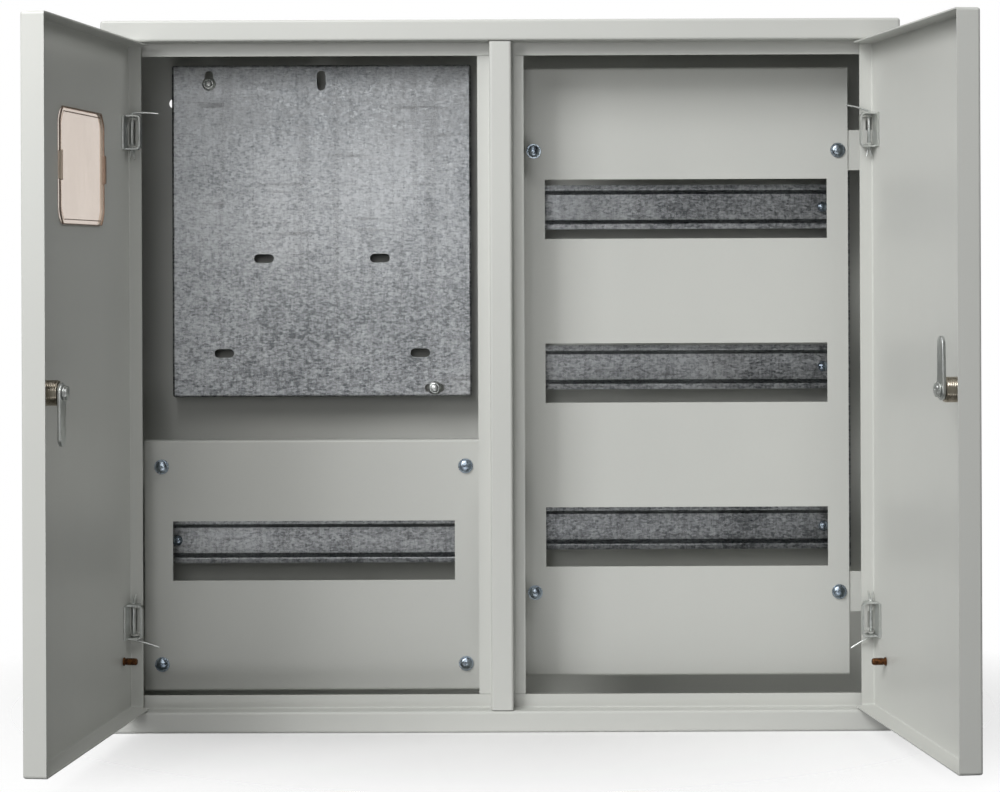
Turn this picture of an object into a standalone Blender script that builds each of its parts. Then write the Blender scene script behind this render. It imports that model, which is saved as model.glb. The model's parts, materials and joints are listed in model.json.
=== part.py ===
"""Surface-mounted metering and distribution cabinet with two inset doors.

Frame: +X to the right, +Y into the wall, +Z up. The origin is the middle of the
cabinet's rear face, so the wall is the plane Y = 0 and the front is at Y = -DEPTH.
Both doors are modelled open, each turned about its own hinge pins.
"""
import math

import bmesh
import bpy
from mathutils import Matrix, Vector

# Overall size of the casing
WIDTH = 0.600
HEIGHT = 0.535
DEPTH = 0.165

# Sheet metal
SHEET = 0.001
BEND = 0.0008           # inside radius of a bend
CORNER = 0.002          # outside radius at a folded or welded corner
FIT = 0.0003            # gap between pieces that touch
BRACKET = 0.0012        # thickness of the small brackets
CUT = 0.003             # how far a cutter runs past the sheet on each side
NOTCH_FOOT = 0.00005    # left standing under a notch in a folded edge

# Front frame: flange, then a recess for the doors, then an inner lip
FLANGE = 0.016
RECESS = 0.017
LIP = 0.010

# Mullion between the doors, a hat section
RIB = 0.0165
MULLION = 0.035

# Doors
DOOR_GAP = 0.0015       # gap between a door and the frame around it
DOOR_SET = 0.0005       # how far a door sits behind the frame's front
DOOR_DEEP = 0.016       # depth of a door's folded edges
HINGE_DEEP = 0.0107     # depth of the folded edge on the hinge side
HINGE_RELIEF = 0.004    # how far the top and bottom edges are cut back beside the pins
DOOR_OPEN = 96.6        # degrees, as modelled

# Hinges: a strap on the door, bent round two ears on the frame, and a split pin
PIN_FROM_EDGE = 0.0055  # pin axis to the door's hinge edge
PIN_FROM_FACE = 0.0048  # pin axis to the door's outer face
PIN_R = 0.0013
PIN_HOLE_R = 0.0017
PIN_PAST = 0.0004       # straight part of the pin past the strap
PIN_BEND = 0.0014
TAIL_R = 0.0009
PRONG_R = 0.0006
PRONG_LONG = 0.0085
PRONG_LEAN = 0.0013
PRONG_ROOT = 0.0005
PIN_LAP = 0.002         # how far the tail and prongs run into the shank
HINGE_FROM_END = 0.0665
HINGE_TALL = 0.026
EAR_GAP = 0.0007        # between an ear and the strap beside it
EAR_CLEAR = 0.001       # between an ear's round front and the door
EAR_SHIFT = 0.0004      # ear's middle from the pin, away from the step wall
EAR_FOOT = 0.0050       # how far the ears' web reaches towards the step wall
STRAP_REACH = 0.0079    # middle of the strap's web behind the pin
STRAP_WEB = 0.0042      # where the web starts, clear of the ears
STRAP_WIDE = (-0.003, 0.009)
STRAP_BEND = 0.0024
STRAP_FOOT = (0.0038, 0.016)
WINDOW_BEHIND = 0.0056  # width of the window lanced in the step behind each pin
WINDOW_BEHIND_TALL = 0.0172
WINDOW_BEHIND_OUT = 0.0012  # its middle from the pin, towards the step wall
WINDOW_BEHIND_LAP = 0.0005  # how much narrower the bracket's own window is
TAILS = {               # length of each tail, and how far its tip rises
    "upper_left": (0.020, -0.0012),
    "lower_left": (0.019, -0.0045),
    "upper_right": (0.017, 0.0034),
    "lower_right": (0.015, -0.0070),
}

# Cam locks
LOCK_FROM_EDGE = 0.027
LOCK_R = 0.0085
LOCK_HEAD_R = 0.0115
LOCK_HEAD = 0.003
LOCK_CHAMFER = 0.0008
LOCK_NUT_R = 0.0132
LOCK_NUT = 0.004
PLUG_R = 0.0055
KEY_WIDE = 0.0012
KEY_TALL = 0.006
KEY_DEEP = 0.005
CAM_FROM_FACE = 0.018   # door's outer face to the cam
CAM_THICK = 0.0025
CAM_REACH = 0.0355
CAM_WIDE = 0.014
CAM_TAPER = 0.001       # how much narrower each side of the tip is
CAM_SCREW_R = 0.005
CAM_SCREW_HEAD = 0.003
CAM_SCREW_CHAMFER = 0.0012
CAM_SCREW_LONG = 0.008

# Window in the left door, and its moulded pane with snap hooks
WINDOW_W = 0.112
WINDOW_H = 0.080
WINDOW_R = 0.012
WINDOW_FROM_HINGE = 0.128
WINDOW_FROM_TOP = 0.097
PANE_LAP = 0.003
PANE_FLANGE = 0.0012
PANE_RIM = 0.0015
PANE_PAST = 0.0018      # how far the pane stands behind the sheet
HOOK_PAST = 0.0020      # how far a hook reaches past the opening
HOOK_ROOT = 0.0008
HOOK_LONG = 0.0234
HOOK_AT = 0.017         # middle of the upper and lower hooks from the pane's middle

# Earthing studs on the doors
STUD_R = 0.0025
STUD_LONG = 0.0105
STUD_COLLAR_R = 0.0032
STUD_COLLAR = 0.0012
STUD_FROM_BOTTOM = 0.0385
LEFT_STUD_IN = 0.017
RIGHT_STUD_IN = 0.030

# Covers over the rails
COVER_FROM_FRONT = 0.066
COVER_FOLD = 0.012
MODULES = 12
MODULE = 0.018
SLOT_SPARE = 0.0025
SLOT_TALL = 0.046
ROW_PITCH = 0.127
ROW_DROP = 0.001        # middle row below the casing's middle
ROWS = 3
RIGHT_COVER_GAP = 0.00275
RIGHT_COVER_END = 0.006
RIGHT_SHIFT = -0.00225
LEFT_COVER_LAP = 0.00275
LEFT_COVER_TALL = 0.194
LEFT_COVER_LOW = 0.0045
LEFT_SLOT_DROP = 0.0858
COVER_SCREW_IN = 0.0085
RIGHT_SCREW_END = 0.0645
LEFT_SCREW_END = 0.0205
TAB_TALL = 0.031
TAB_PAST = 0.012
TAB_LEG = 0.016
TAB_WEB_IN = 0.004      # a mullion tab's web from the edge of the mullion's flange
TAB_LAP = 0.0005

# Screws
SCREW_R = 0.0019
SCREW_HOLE_R = 0.0024
SCREW_LONG = 0.012
SCREW_POINT = 0.002
SCREW_HEAD_R = 0.0046
SCREW_HEAD = 0.0034
SCREW_WASHER_R = 0.0057
SCREW_WASHER = 0.0008
RAIL_SCREW_HEAD_R = 0.0040
RAIL_SCREW_WASHER_R = 0.0041

# DIN rails and the posts that carry them
RAIL_FROM_FRONT = 0.114
RAIL_TALL = 0.035
RAIL_DEEP = 0.0075
RAIL_WEB = 0.021
RAIL_LIP = 0.0042
RAIL_BEND = 0.0005
RAIL_PAST = 0.010
RAIL_LIFT = 0.0025      # rail's centre above its slot's centre
RAIL_SCREW_PAST = 0.0032
POST_WIDE = 0.020
POST_PAST = 0.020
POST_FOOT = 0.018
POST_TAB_TALL = 0.033   # front flange of a post, left only behind each rail
POST_NOTCH = 0.004

# Meter mounting plate
PLATE_FROM_FRONT = 0.135
PLATE_WIDE = 0.240
PLATE_FOLD = 0.010
PLATE_TOP = 0.0237
PLATE_ABOVE_COVER = 0.0298
PLATE_SHIFT = 0.00235
PLATE_SLOT = 0.016
PLATE_SLOT_WIDE = 0.007
SLOT_FROM_END = 0.0125  # top and bottom slots from the plate's ends
SLOT_SIDE = 0.090       # outer slots from the plate's middle
SLOT_LOW = 0.0068       # lower right slot from the plate's bottom
STUD_DROP = 0.0026      # upper stud below the middle of its slot
UPPER_SLOTS = (0.0465, 0.111)   # half the spacing, height above the plate's bottom
LOWER_SLOTS = (0.0785, 0.035)
PLATE_STUD_R = 0.0025
PLATE_STUD_PAST = 0.008
PLATE_SHOULDER_R = 0.0045
NUT_FLATS = 0.008
NUT_TALL = 0.005
NUT_FLANGE_R = 0.0054
NUT_FLANGE = 0.0008

# Back panel
BACK_FOLD = 0.012
WALL_HOLE_R = 0.004
WALL_HOLE_X = 0.035
WALL_HOLE_Z = 0.0525

# Knock-outs for cable entry
KNOCK_R = 0.016
KNOCK_SLIT = 0.001
KNOCK_BRIDGE = 14       # degrees
KNOCK_STEPS = 8
KNOCK_FROM_FRONT = 0.115
KNOCK_X = (-0.200, -0.090, 0.090, 0.200)

# Places that follow from the sizes above
FRONT = -DEPTH
STEP_X = WIDTH / 2 - FLANGE
STEP_Z = HEIGHT / 2 - FLANGE
OPEN_X = STEP_X - LIP
OPEN_Z = STEP_Z - LIP
DOOR_HIGH = 2 * (STEP_Z - DOOR_GAP)
DOOR_WIDE = STEP_X - RIB / 2 - 2 * DOOR_GAP
AXIS_X = STEP_X - DOOR_GAP - PIN_FROM_EDGE
AXIS_Y = FRONT + DOOR_SET + PIN_FROM_FACE
FACE_V = -PIN_FROM_FACE
EAR_R = PIN_FROM_FACE - SHEET - EAR_CLEAR
INSIDE_V = FACE_V + SHEET
LOCK_U = DOOR_WIDE - PIN_FROM_EDGE - LOCK_FROM_EDGE
CAM_V = FACE_V + CAM_FROM_FACE
HINGE_Z = DOOR_HIGH / 2 - HINGE_FROM_END
BAY_X = (OPEN_X + MULLION / 2) / 2
BAY_WIDE = OPEN_X - MULLION / 2
LEFT_X = -BAY_X
RIGHT_X = BAY_X + RIGHT_SHIFT
SLOT_WIDE = MODULES * MODULE + SLOT_SPARE
SCREW_X = SLOT_WIDE / 2 + COVER_SCREW_IN
COVER_Y = FRONT + COVER_FROM_FRONT
RIGHT_COVER_Z = OPEN_Z - RIGHT_COVER_END
RIGHT_ROW_Z = [ROW_PITCH * ((ROWS - 1) / 2 - row) - ROW_DROP for row in range(ROWS)]
LEFT_COVER_BOTTOM = -OPEN_Z - LEFT_COVER_LOW
LEFT_COVER_TOP = LEFT_COVER_BOTTOM + LEFT_COVER_TALL
LEFT_ROW_Z = LEFT_COVER_TOP - LEFT_SLOT_DROP
RAIL_Y = FRONT + RAIL_FROM_FRONT
RAIL_LONG = SLOT_WIDE + 2 * RAIL_PAST
RAIL_SCREW_X = SLOT_WIDE / 2 + RAIL_SCREW_PAST
POST_Y = RAIL_Y + RAIL_DEEP + FIT
PLATE_Y = FRONT + PLATE_FROM_FRONT
PLATE_X = LEFT_X + PLATE_SHIFT
PLATE_HIGH_Z = HEIGHT / 2 - PLATE_TOP
PLATE_LOW_Z = LEFT_COVER_TOP + PLATE_ABOVE_COVER
WINDOW_AT = (WINDOW_FROM_HINGE, 0, DOOR_HIGH / 2 - WINDOW_FROM_TOP)

FINISHES = {
    "paint": ((0.62, 0.63, 0.60), 0.45, 0.0),
    "zinc": ((0.55, 0.57, 0.60), 0.35, 1.0),
    "galvanised": ((0.42, 0.44, 0.46), 0.45, 1.0),
    "brass": ((0.48, 0.38, 0.27), 0.30, 1.0),
    "copper": ((0.40, 0.18, 0.08), 0.40, 1.0),
    "plastic": ((0.80, 0.70, 0.62), 0.25, 0.0),
}


# Mesh helpers

def clear_scene():
    for item in list(bpy.data.objects):
        bpy.data.objects.remove(item, do_unlink=True)


def new_object(name, bm):
    bmesh.ops.remove_doubles(bm, verts=bm.verts, dist=1e-7)
    bmesh.ops.recalc_face_normals(bm, faces=bm.faces)
    mesh = bpy.data.meshes.new(name)
    bm.to_mesh(mesh)
    bm.free()
    item = bpy.data.objects.new(name, mesh)
    bpy.context.scene.collection.objects.link(item)
    return item


def box(low, high, name="box"):
    bm = bmesh.new()
    corners = [
        bm.verts.new((x, y, z))
        for x in (low[0], high[0])
        for y in (low[1], high[1])
        for z in (low[2], high[2])
    ]
    sides = ((0, 1, 3, 2), (4, 6, 7, 5), (0, 4, 5, 1), (2, 3, 7, 6), (0, 2, 6, 4), (1, 5, 7, 3))
    for side in sides:
        bm.faces.new([corners[i] for i in side])
    return new_object(name, bm)


def prism(outline, place, start, end, name="prism"):
    """Extrudes a closed outline; place(a, b, t) gives the point of (a, b) at t along the way."""
    bm = bmesh.new()
    ends = [[bm.verts.new(place(a, b, t)) for a, b in outline] for t in (start, end)]
    count = len(outline)
    bm.faces.new(ends[0])
    bm.faces.new(ends[1][::-1])
    for i in range(count):
        j = (i + 1) % count
        bm.faces.new((ends[0][i], ends[1][i], ends[1][j], ends[0][j]))
    return new_object(name, bm)


def along_x(a, b, t):
    return Vector((t, a, b))


def along_y(a, b, t):
    return Vector((a, t, b))


def along_z(a, b, t):
    return Vector((a, b, t))


def circle(radius, sides, centre=(0.0, 0.0)):
    return circle_arc(radius, 0, 2 * math.pi, sides, centre)[:-1]


def circle_arc(radius, start, end, steps, centre):
    angles = [start + (end - start) * i / steps for i in range(steps + 1)]
    return [(centre[0] + radius * math.cos(a), centre[1] + radius * math.sin(a)) for a in angles]


def turned(profile, sides, place, name="turned"):
    """A solid of revolution: profile is (radius, t) from one end of the axis to the other."""
    bm = bmesh.new()
    rings = [[bm.verts.new(place(a, b, t)) for a, b in circle(r, sides)] for r, t in profile]
    bm.faces.new(rings[0])
    bm.faces.new(rings[-1][::-1])
    for near, far in zip(rings, rings[1:]):
        for i in range(sides):
            j = (i + 1) % sides
            bm.faces.new((near[i], far[i], far[j], near[j]))
    return new_object(name, bm)


def rounded_rect(half_w, half_h, radius, steps=3):
    points = []
    for quarter, (sx, sz) in enumerate(((1, 1), (-1, 1), (-1, -1), (1, -1))):
        for i in range(steps + 1):
            angle = math.pi / 2 * (quarter + i / steps)
            x = sx * (half_w - radius) + radius * math.cos(angle)
            z = sz * (half_h - radius) + radius * math.sin(angle)
            points.append((x, z))
    return points


def stadium(length, wide, upright=False, steps=6):
    """A slot's outline with round ends."""
    reach = (length - wide) / 2
    right = circle_arc(wide / 2, -math.pi / 2, math.pi / 2, steps, (reach, 0))
    left = circle_arc(wide / 2, math.pi / 2, 3 * math.pi / 2, steps, (-reach, 0))
    points = right + left
    return [(z, x) for x, z in points] if upright else points


def bent_strip(path, thick, inside=BEND, steps=3):
    """The outline of a strip of sheet along path, its centre line, with a round bend at each corner."""
    radius = inside + thick / 2
    left, right = [], []
    points = [Vector(p) for p in path]

    def offset(point, direction):
        side = Vector((-direction.y, direction.x)) * thick / 2
        left.append(tuple(point + side))
        right.append(tuple(point - side))

    for i, point in enumerate(points):
        if i == 0:
            offset(point, (points[1] - point).normalized())
            continue
        before = (point - points[i - 1]).normalized()
        if i == len(points) - 1:
            offset(point, before)
            continue
        after = (points[i + 1] - point).normalized()
        turn = before.angle_signed(after) * -1
        reach = radius * math.tan(abs(turn) / 2)
        start = point - before * reach
        centre = start + Vector((-before.y, before.x)) * math.copysign(radius, turn)
        for k in range(steps + 1):
            spin = Matrix.Rotation(turn * k / steps, 2)
            offset(centre + spin @ (start - centre), spin @ before)
    return left + right[::-1]


def ring_body(rings, closed, name):
    """Joins rings of equal point counts into one skin, closed on itself or capped at both ends."""
    bm = bmesh.new()
    loops = [[bm.verts.new(p) for p in ring] for ring in rings]
    pairs = list(zip(loops, loops[1:]))
    if closed:
        pairs.append((loops[-1], loops[0]))
    else:
        bm.faces.new(loops[0])
        bm.faces.new(loops[-1][::-1])
    count = len(loops[0])
    for near, far in pairs:
        for i in range(count):
            j = (i + 1) % count
            bm.faces.new((near[i], far[i], far[j], near[j]))
    return new_object(name, bm)


def pan(half_w, half_h, deep, name, thick=SHEET, corner=CORNER):
    """A plate with its four edges folded towards +Y. Its face is at Y = 0, its middle on the Y axis."""
    inner = 4 * (thick + BEND)
    outline = bent_strip([(inner, thick / 2), (thick / 2, thick / 2), (thick / 2, deep)], thick)
    rings = []
    for inset, y in outline:
        radius = max(corner - inset, FIT)
        ring = rounded_rect(half_w - inset, half_h - inset, radius)
        rings.append([(x, y, z) for x, z in ring])
    return ring_body(rings, False, name)


def solve(item, other, operation):
    """Applies one Boolean to item and removes the other shape."""
    modifier = item.modifiers.new("cut", "BOOLEAN")
    modifier.operation = operation
    modifier.solver = "EXACT"
    modifier.object = other
    graph = bpy.context.evaluated_depsgraph_get()
    result = bpy.data.meshes.new_from_object(item.evaluated_get(graph))
    item.modifiers.clear()
    old = item.data
    item.data = result
    bpy.data.meshes.remove(old)
    bpy.data.objects.remove(other, do_unlink=True)
    return item


def cut(item, *tools):
    for tool in tools:
        solve(item, tool, "DIFFERENCE")
    return item


def weld(item, *tools):
    for tool in tools:
        solve(item, tool, "UNION")
    return item


def move(item, offset):
    item.data.transform(Matrix.Translation(Vector(offset)))
    return item


def mirror_x(item):
    item.data.transform(Matrix.Scale(-1, 4, (1, 0, 0)))
    item.data.flip_normals()
    return item


def dress(item, name, finish, parent=None, smooth=False):
    """Names a finished sub-part, gives it its material and hangs it on its parent."""
    item.name = name
    item.data.name = name
    colour, roughness, metallic = FINISHES[finish]
    material = bpy.data.materials.new(name + "_" + finish)
    material.use_nodes = True
    shader = material.node_tree.nodes["Principled BSDF"]
    shader.inputs["Base Color"].default_value = (*colour, 1.0)
    shader.inputs["Roughness"].default_value = roughness
    shader.inputs["Metallic"].default_value = metallic
    item.data.materials.clear()
    item.data.materials.append(material)
    if parent:
        item.parent = parent
    if smooth:
        item.data.shade_smooth()
        item.data.set_sharp_from_angle(angle=math.radians(35))
    return item


def empty(name, location, turn_z=0.0, parent=None):
    item = bpy.data.objects.new(name, None)
    item.location = location
    item.rotation_euler = (0.0, 0.0, turn_z)
    if parent:
        item.parent = parent
    bpy.context.scene.collection.objects.link(item)
    return item


# Casing

def knock_out(x, side):
    """Two half-ring slits through the top or bottom wall, which leave a disc on two bridges."""
    gap = math.radians(KNOCK_BRIDGE) / 2
    cutters = []
    for start in (gap, math.pi + gap):
        span = math.pi - 2 * gap
        outer = circle_arc(KNOCK_R, start, start + span, KNOCK_STEPS, (0, 0))
        inner = circle_arc(KNOCK_R - KNOCK_SLIT, start, start + span, KNOCK_STEPS, (0, 0))
        outline = outer + inner[::-1]
        wall = side * HEIGHT / 2
        slit = prism(outline, along_z, wall - CUT, wall + CUT)
        cutters.append(move(slit, (x, FRONT + KNOCK_FROM_FRONT, 0)))
    return cutters


def wall_tab(side, screw_x, screw_z):
    """An angle on the side wall that carries one cover screw."""
    wall = side * (WIDTH / 2 - SHEET - BRACKET / 2 + FIT)
    tip = screw_x - side * TAB_PAST
    face = COVER_Y + SHEET + FIT + BRACKET / 2
    path = [(wall, face + TAB_LEG), (wall, face), (tip, face)]
    tab = prism(bent_strip(path, BRACKET), along_z, screw_z - TAB_TALL / 2, screw_z + TAB_TALL / 2)
    hole = prism(circle(SCREW_HOLE_R, 12, (screw_x, screw_z)), along_y, face - CUT, face + CUT)
    return cut(tab, hole)


def build_shell():
    """Sides, top and bottom in one band, with the flange, the door recess and the lip folded from it."""
    half = SHEET / 2
    path = [
        (half, DEPTH),
        (half, half),
        (FLANGE - half, half),
        (FLANGE - half, RECESS + half),
        (FLANGE + LIP, RECESS + half),
    ]
    rings = []
    for inset, depth in bent_strip(path, SHEET):
        radius = max(CORNER - inset, FIT)
        ring = rounded_rect(WIDTH / 2 - inset, HEIGHT / 2 - inset, radius, 2)
        rings.append([(x, FRONT + depth, z) for x, z in ring])
    shell = ring_body(rings, True, "shell")
    for side in (1, -1):
        for x in KNOCK_X:
            cut(shell, *knock_out(x, side))
    for side in (1, -1):
        x = side * (AXIS_X + WINDOW_BEHIND_OUT)
        for z in (HINGE_Z, -HINGE_Z):
            low = (x - WINDOW_BEHIND / 2, FRONT + RECESS - CUT, z - WINDOW_BEHIND_TALL / 2)
            high = (x + WINDOW_BEHIND / 2, FRONT + RECESS + SHEET + CUT, z + WINDOW_BEHIND_TALL / 2)
            cut(shell, box(low, high))
    for z in cover_screw_heights("right"):
        weld(shell, wall_tab(1, RIGHT_X + SCREW_X, z))
    for z in cover_screw_heights("left"):
        weld(shell, wall_tab(-1, LEFT_X - SCREW_X, z))
    dress(shell, "shell", "paint")


def build_back():
    """The rear panel, a shallow pan inside the band, with four wall holes and the plate's welded studs."""
    half_w = WIDTH / 2 - SHEET - FIT
    half_h = HEIGHT / 2 - SHEET - FIT
    back = pan(half_w, half_h, BACK_FOLD, "back_panel")
    back.data.transform(Matrix.Rotation(math.pi, 4, "Z"))
    for x in (-1, 1):
        for z in (-1, 1):
            centre = (x * (WIDTH / 2 - WALL_HOLE_X), z * (HEIGHT / 2 - WALL_HOLE_Z))
            cut(back, prism(circle(WALL_HOLE_R, 16, centre), along_y, -CUT, CUT))
    for x, z in plate_studs():
        weld(back, plate_stud(PLATE_X + x, z))
    dress(back, "back_panel", "paint")


def cover_screw_heights(bay):
    if bay == "right":
        reach = RIGHT_COVER_Z - RIGHT_SCREW_END
        return (reach, -reach)
    return (LEFT_COVER_TOP - LEFT_SCREW_END, LEFT_COVER_BOTTOM + LEFT_SCREW_END)


def mullion_tab(side, screw_x, screw_z):
    """A stepped tab from the mullion's flange back to a cover."""
    root = FRONT + RECESS + SHEET + BRACKET / 2 - FIT
    face = COVER_Y + SHEET + FIT + BRACKET / 2
    web = side * (MULLION / 2 - TAB_WEB_IN)
    tip = screw_x + side * TAB_PAST
    path = [(side * (RIB / 2 + TAB_LAP), root), (web, root), (web, face), (tip, face)]
    tab = prism(bent_strip(path, BRACKET), along_z, screw_z - TAB_TALL / 2, screw_z + TAB_TALL / 2)
    hole = prism(circle(SCREW_HOLE_R, 12, (screw_x, screw_z)), along_y, face - CUT, face + CUT)
    return cut(tab, hole)


def build_mullion():
    """A hat section between the doors, its flanges level with the lip, its rib level with the front."""
    half = SHEET / 2
    top = FRONT + FIT + half
    low = FRONT + RECESS + half
    path = [
        (-MULLION / 2, low),
        (-RIB / 2 + half, low),
        (-RIB / 2 + half, top),
        (RIB / 2 - half, top),
        (RIB / 2 - half, low),
        (MULLION / 2, low),
    ]
    reach = STEP_Z - 2 * FIT
    mullion = prism(bent_strip(path, SHEET), along_z, -reach, reach)
    for side in (1, -1):
        ends = sorted((side * (OPEN_Z - FIT), side * (reach + CUT)))
        low_corner = (-MULLION, FRONT + RECESS - FIT, ends[0])
        cut(mullion, box(low_corner, (MULLION, FRONT + RECESS + CUT, ends[1])))
    for z in cover_screw_heights("right"):
        weld(mullion, mullion_tab(1, RIGHT_X - SCREW_X, z))
    for z in cover_screw_heights("left"):
        weld(mullion, mullion_tab(-1, LEFT_X + SCREW_X, z))
    dress(mullion, "mullion", "paint")


# Doors, each in its own hinge frame: u away from the pin, v into the cabinet, both from the pin's axis

def door_pan():
    middle = DOOR_WIDE / 2 - PIN_FROM_EDGE
    door = move(pan(DOOR_WIDE / 2, DOOR_HIGH / 2, DOOR_DEEP, "door"), (middle, FACE_V, 0))
    edge = -PIN_FROM_EDGE
    low = (edge - CUT, FACE_V + HINGE_DEEP, -DOOR_HIGH / 2 - CUT)
    cut(door, box(low, (edge + HINGE_RELIEF, FACE_V + DOOR_DEEP + CUT, DOOR_HIGH / 2 + CUT)))
    for z in (HINGE_Z, -HINGE_Z):
        half = HINGE_TALL / 2 - BRACKET - FIT
        low = (edge - CUT, INSIDE_V + NOTCH_FOOT, z - half)
        cut(door, box(low, (edge + SHEET + FIT, FACE_V + DOOR_DEEP, z + half)))
    hole = prism(circle(LOCK_R + FIT, 20, (LOCK_U, 0)), along_y, FACE_V - CUT, FACE_V + CUT)
    return cut(door, hole)


def build_doors():
    doors = {}
    for name, side in (("left", 1), ("right", -1)):
        turn = -side * math.radians(DOOR_OPEN)
        axis = empty(name + "_door_axis", (-side * AXIS_X, AXIS_Y, 0), turn)
        door = door_pan()
        if name == "left":
            outline = rounded_rect(WINDOW_W / 2, WINDOW_H / 2, WINDOW_R, 4)
            window = prism(outline, along_y, FACE_V - CUT, FACE_V + CUT)
            cut(door, move(window, WINDOW_AT))
        if side < 0:
            mirror_x(door)
        dress(door, name + "_door", "paint", axis)
        doors[name] = (axis, side)
    return doors


def build_pane(axis):
    """A moulded pane: a flange outside the door, a plug through it and snap hooks behind it."""
    half_w = WINDOW_W / 2
    half_h = WINDOW_H / 2
    back = INSIDE_V + PANE_PAST
    steps = [
        (-PANE_LAP, FACE_V - FIT - PANE_FLANGE),
        (-PANE_LAP, FACE_V - FIT),
        (FIT, FACE_V - FIT),
        (FIT, back),
        (FIT + PANE_RIM, back),
        (FIT + PANE_RIM, FACE_V),
    ]
    rings = []
    for inset, v in steps:
        ring = rounded_rect(half_w - inset, half_h - inset, WINDOW_R - inset, 4)
        rings.append([(x, v, z) for x, z in ring])
    pane = ring_body(rings, False, "window_pane")
    near = INSIDE_V + FIT
    far = back - NOTCH_FOOT
    for side in (1, -1):
        ends = sorted((side * (half_w - FIT - HOOK_ROOT), side * (half_w + HOOK_PAST)))
        weld(pane, box((ends[0], near, -HOOK_LONG / 2), (ends[1], far, HOOK_LONG / 2)))
        ends = sorted((side * (half_h - FIT - HOOK_ROOT), side * (half_h + HOOK_PAST)))
        for middle in (-HOOK_AT, HOOK_AT):
            low = (middle - HOOK_LONG / 2, near, ends[0])
            weld(pane, box(low, (middle + HOOK_LONG / 2, far, ends[1])))
    move(pane, WINDOW_AT)
    dress(pane, "window_pane", "plastic", axis)


def build_lock_case(name, axis, side):
    """The barrel, in the door's hole, and the nut that clamps it."""
    head = FACE_V - FIT - LOCK_HEAD
    profile = [
        (LOCK_HEAD_R - LOCK_CHAMFER, head), (LOCK_HEAD_R, head + LOCK_CHAMFER),
        (LOCK_HEAD_R, FACE_V - FIT), (LOCK_R, FACE_V - FIT), (LOCK_R, CAM_V - FIT),
    ]
    body = turned(profile, 24, along_y)
    cut(body, prism(circle(PLUG_R + FIT, 16), along_y, head - CUT, CAM_V + CUT))
    near = INSIDE_V + FIT
    nut = prism(circle(LOCK_NUT_R, 6), along_y, near, near + LOCK_NUT)
    cut(nut, prism(circle(LOCK_R + FIT, 24), along_y, near - CUT, near + LOCK_NUT + CUT))
    for item, label, finish in ((body, "_lock_body", "brass"), (nut, "_lock_nut", "zinc")):
        dress(item, name + label, finish, axis, True)
        item.location = (side * LOCK_U, 0, 0)


def build_lock_core(name, axis, side):
    """The plug, the cam and its screw, which turn together."""
    core = empty(name + "_lock_axis", (side * LOCK_U, 0, 0), 0, axis)
    head = FACE_V - LOCK_HEAD
    end = CAM_V - FIT
    plug = turned([(PLUG_R, head), (PLUG_R, end)], 16, along_y)
    key = box((-KEY_WIDE / 2, head - CUT, -KEY_TALL / 2), (KEY_WIDE / 2, head + KEY_DEEP, KEY_TALL / 2))
    bore = prism(circle(SCREW_HOLE_R, 12), along_y, end - CAM_SCREW_LONG, end + CUT)
    cut(plug, key, bore)
    seat = CAM_V + CAM_THICK + FIT
    profile = [
        (SCREW_R, seat - CAM_SCREW_LONG), (SCREW_R, seat), (CAM_SCREW_R, seat),
        (CAM_SCREW_R, seat + CAM_SCREW_HEAD - CAM_SCREW_CHAMFER),
        (CAM_SCREW_R - CAM_SCREW_CHAMFER, seat + CAM_SCREW_HEAD),
    ]
    dress(plug, name + "_lock_plug", "zinc", core, True)
    dress(cam_lever(-side), name + "_lock_cam", "zinc", core)
    dress(turned(profile, 12, along_y), name + "_cam_screw", "zinc", core, True)


def cam_lever(point):
    """A flat lever that reaches down (-1) or up (+1) from the lock's axis."""
    tip_r = CAM_WIDE / 2 - CAM_TAPER
    tip = circle_arc(tip_r, 0, math.pi, 6, (0, CAM_REACH - tip_r))
    heel = circle_arc(CAM_WIDE / 2, math.pi, 2 * math.pi, 6, (0, 0))
    outline = [(x, point * z) for x, z in tip + heel]
    cam = prism(outline, along_y, CAM_V, CAM_V + CAM_THICK)
    return cut(cam, prism(circle(SCREW_HOLE_R, 12), along_y, CAM_V - CUT, CAM_V + CAM_THICK + CUT))


def build_earth_stud(name, axis, side, inward):
    near = INSIDE_V + FIT
    profile = [
        (STUD_COLLAR_R, near), (STUD_COLLAR_R, near + STUD_COLLAR),
        (STUD_R, near + STUD_COLLAR), (STUD_R, near + STUD_LONG),
    ]
    stud = turned(profile, 12, along_y)
    dress(stud, name + "_earth_stud", "copper", axis, True)
    stud.location = (side * inward, 0, -DOOR_HIGH / 2 + STUD_FROM_BOTTOM)


# Hinges

def frame_ear(z, root):
    """One ear of the frame's bracket, from the web in front of the lip forward past the pin."""
    front = circle_arc(EAR_R, math.pi, 2 * math.pi, 6, (EAR_SHIFT, 0))
    outline = front + [(EAR_SHIFT + EAR_R, root), (EAR_SHIFT - EAR_R, root)]
    ear = prism(outline, along_z, z - BRACKET / 2, z + BRACKET / 2)
    return cut(ear, prism(circle(PIN_HOLE_R, 12), along_z, z - CUT, z + CUT))


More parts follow.
